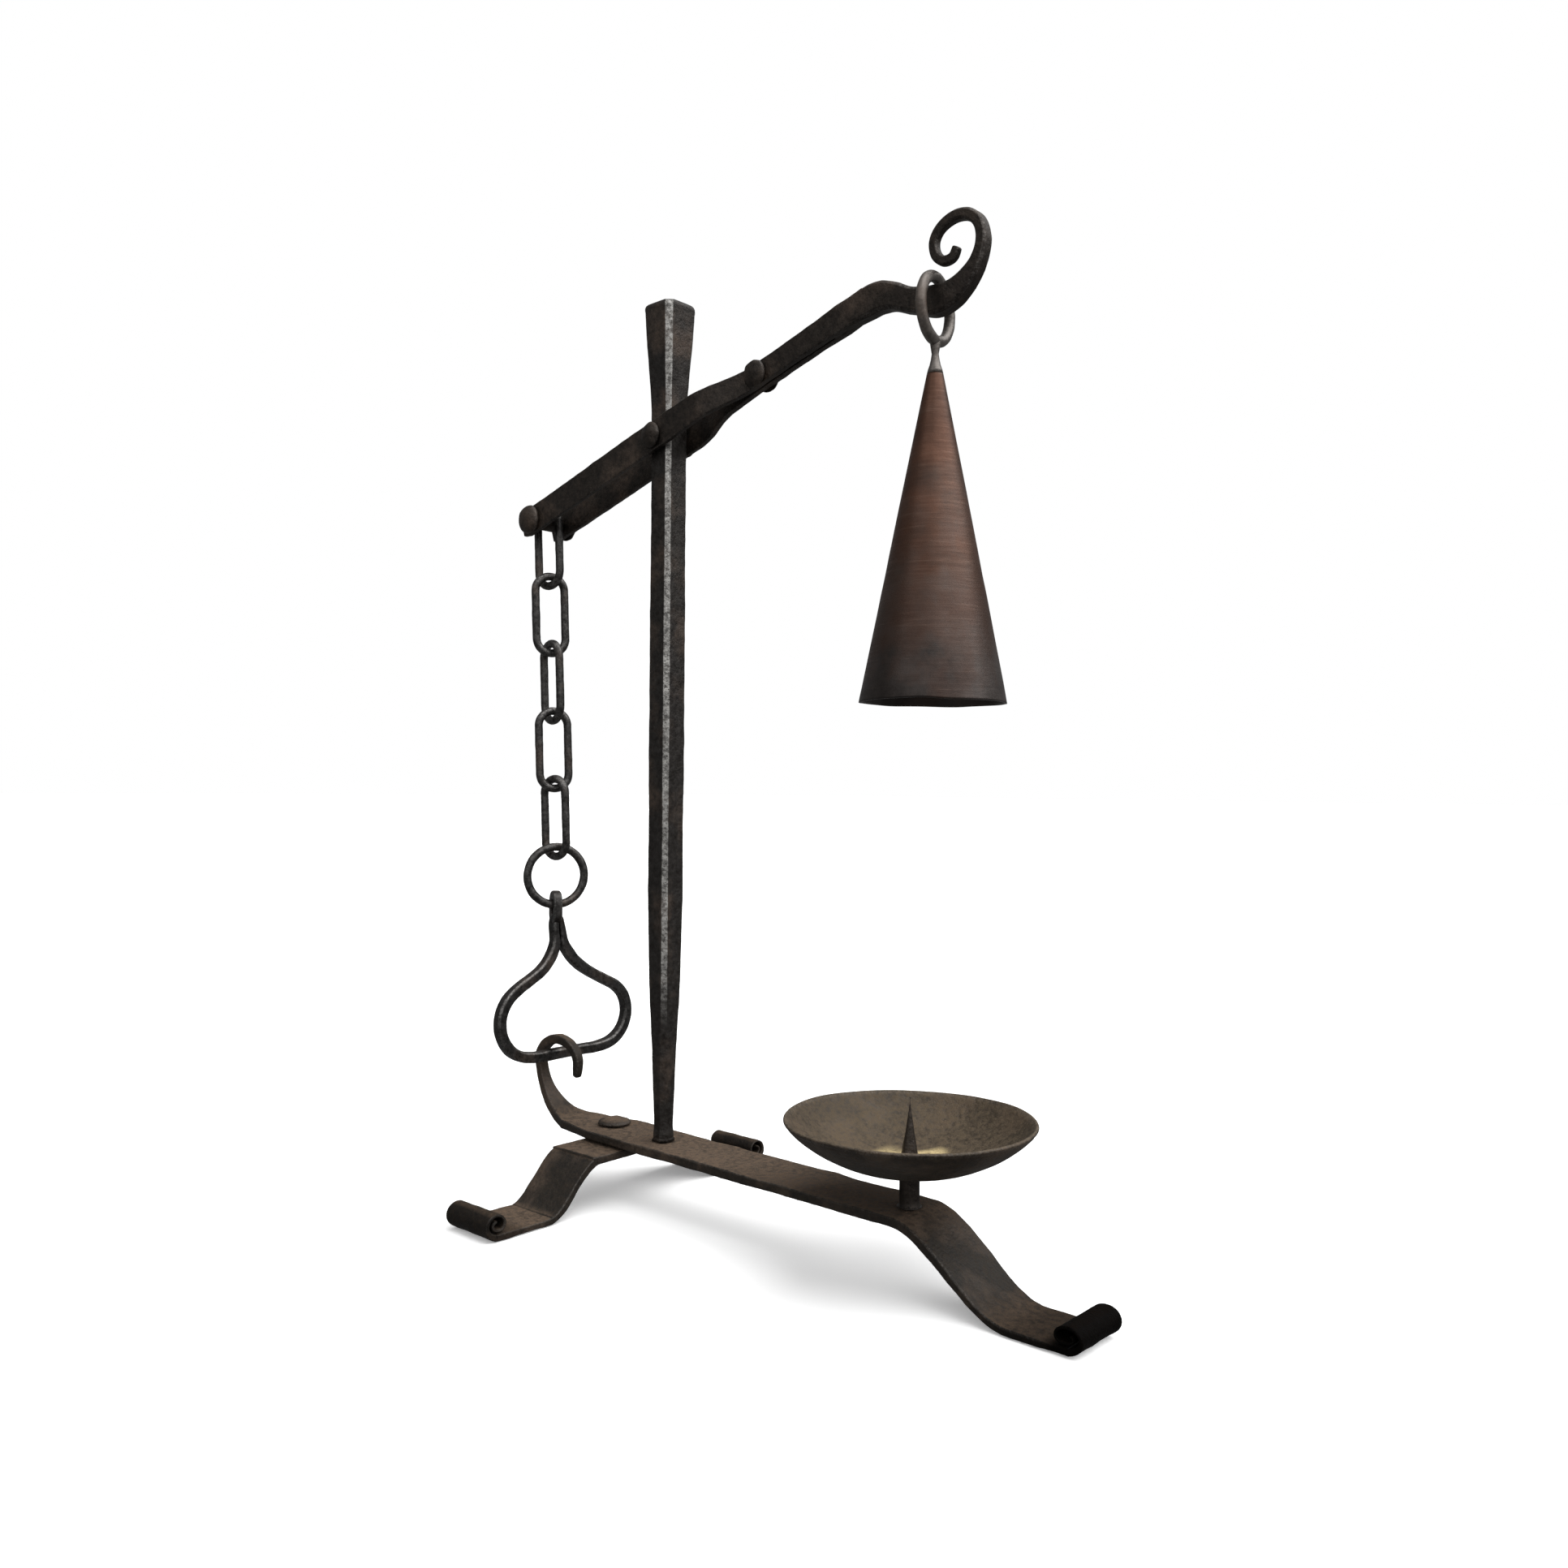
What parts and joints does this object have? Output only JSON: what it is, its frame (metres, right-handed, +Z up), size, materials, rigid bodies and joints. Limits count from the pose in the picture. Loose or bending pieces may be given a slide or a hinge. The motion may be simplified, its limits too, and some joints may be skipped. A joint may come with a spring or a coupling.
{
  "type": "pricket candle holder with snuffer",
  "caption": "Forged iron pricket candle holder: a riveted lever on a square post hangs a copper cone snuffer over the drip pan, held by a chain and spade handle.",
  "frame": {"origin": "middle of the model's box at floor level", "axes": "+X along the base bar towards the candle pan, +Y to the rear side, +Z up"},
  "size_m": [0.3094, 0.1656, 0.3989],
  "materials": {
    "forged_iron": "forged black iron with hammer marks and waxed scale",
    "brown_iron": "forged iron with a brown dusty patina",
    "pan_iron": "thin dished iron, brown and slightly stained by wax",
    "chain_iron": "dark drawn iron wire, rubbed bright on its round",
    "ring_iron": "brown iron ring, worn smooth",
    "copper": "copper sheet with a reddish brown patina, sooty towards the mouth"
  },
  "bodies": {
    "stand": {"bar_hook": "brown_iron", "base_bar": "brown_iron", "cross_foot": "brown_iron", "foot_rivet": "forged_iron", "post": "forged_iron", "pan_stem": "forged_iron", "drip_pan": "pan_iron", "pricket": "forged_iron"},
    "lever": {"beam_fork": "forged_iron", "pivot_rivet": "forged_iron", "fork_rivet": "forged_iron", "chain_pin": "forged_iron"},
    "link_1": {"chain_link_1": "chain_iron"},
    "link_2": {"chain_link_2": "chain_iron"},
    "link_3": {"chain_link_3": "chain_iron"},
    "link_4": {"chain_link_4": "chain_iron"},
    "link_5": {"chain_link_5": "chain_iron"},
    "ring": {"chain_ring": "chain_iron"},
    "handle": {"pull_handle": "forged_iron"},
    "snuffer": {"snuffer_hanger": "ring_iron", "snuffer_cone": "copper"}
  },
  "joints": [
    {"name": "lever_pivot", "type": "hinge", "parent": "stand", "child": "lever", "pos_m": [-0.06027, 0, 0.338], "axis": [0, 1, 0], "range_deg": [-8, 0]},
    {"name": "chain_swing", "type": "hinge", "parent": "lever", "child": "link_1", "pos_m": [-0.14567, 0, 0.31222], "axis": [0, 1, 0], "range_deg": [0, 8]},
    {"name": "link_2_sway", "type": "hinge", "parent": "link_1", "child": "link_2", "pos_m": [-0.14399, 0, 0.28398], "axis": [1, 0, 0], "range_deg": [-3, 3]},
    {"name": "link_3_sway", "type": "hinge", "parent": "link_2", "child": "link_3", "pos_m": [-0.14231, 0, 0.25134], "axis": [1, 0, 0], "range_deg": [-1, 1]},
    {"name": "link_4_sway", "type": "hinge", "parent": "link_3", "child": "link_4", "pos_m": [-0.14063, 0, 0.2187], "axis": [1, 0, 0], "range_deg": [-1, 1]},
    {"name": "link_5_sway", "type": "hinge", "parent": "link_4", "child": "link_5", "pos_m": [-0.13895, 0, 0.18606], "axis": [1, 0, 0], "range_deg": [-2, 2]},
    {"name": "ring_sway", "type": "hinge", "parent": "link_5", "child": "ring", "pos_m": [-0.13727, 0, 0.15342], "axis": [1, 0, 0], "range_deg": [-0.5, 0.5]},
    {"name": "handle_sway", "type": "hinge", "parent": "ring", "child": "handle", "pos_m": [-0.13727, 0, 0.13032], "axis": [1, 0, 0], "range_deg": [-0.15, 0.15]},
    {"name": "snuffer_swing", "type": "hinge", "parent": "lever", "child": "snuffer", "pos_m": [0.08273, 0, 0.37322], "axis": [0, 1, 0], "range_deg": [-20, 20]}
  ],
  "couplings": [
    {"joint": "chain_swing", "follows": "lever_pivot", "ratio": -1},
    {"joint": "link_3_sway", "follows": "link_2_sway", "ratio": -0.33333},
    {"joint": "link_4_sway", "follows": "link_2_sway", "ratio": -0.33333},
    {"joint": "link_5_sway", "follows": "link_2_sway", "ratio": -0.66667},
    {"joint": "ring_sway", "follows": "link_2_sway", "ratio": -0.16667},
    {"joint": "handle_sway", "follows": "link_2_sway", "ratio": -0.05}
  ]
}
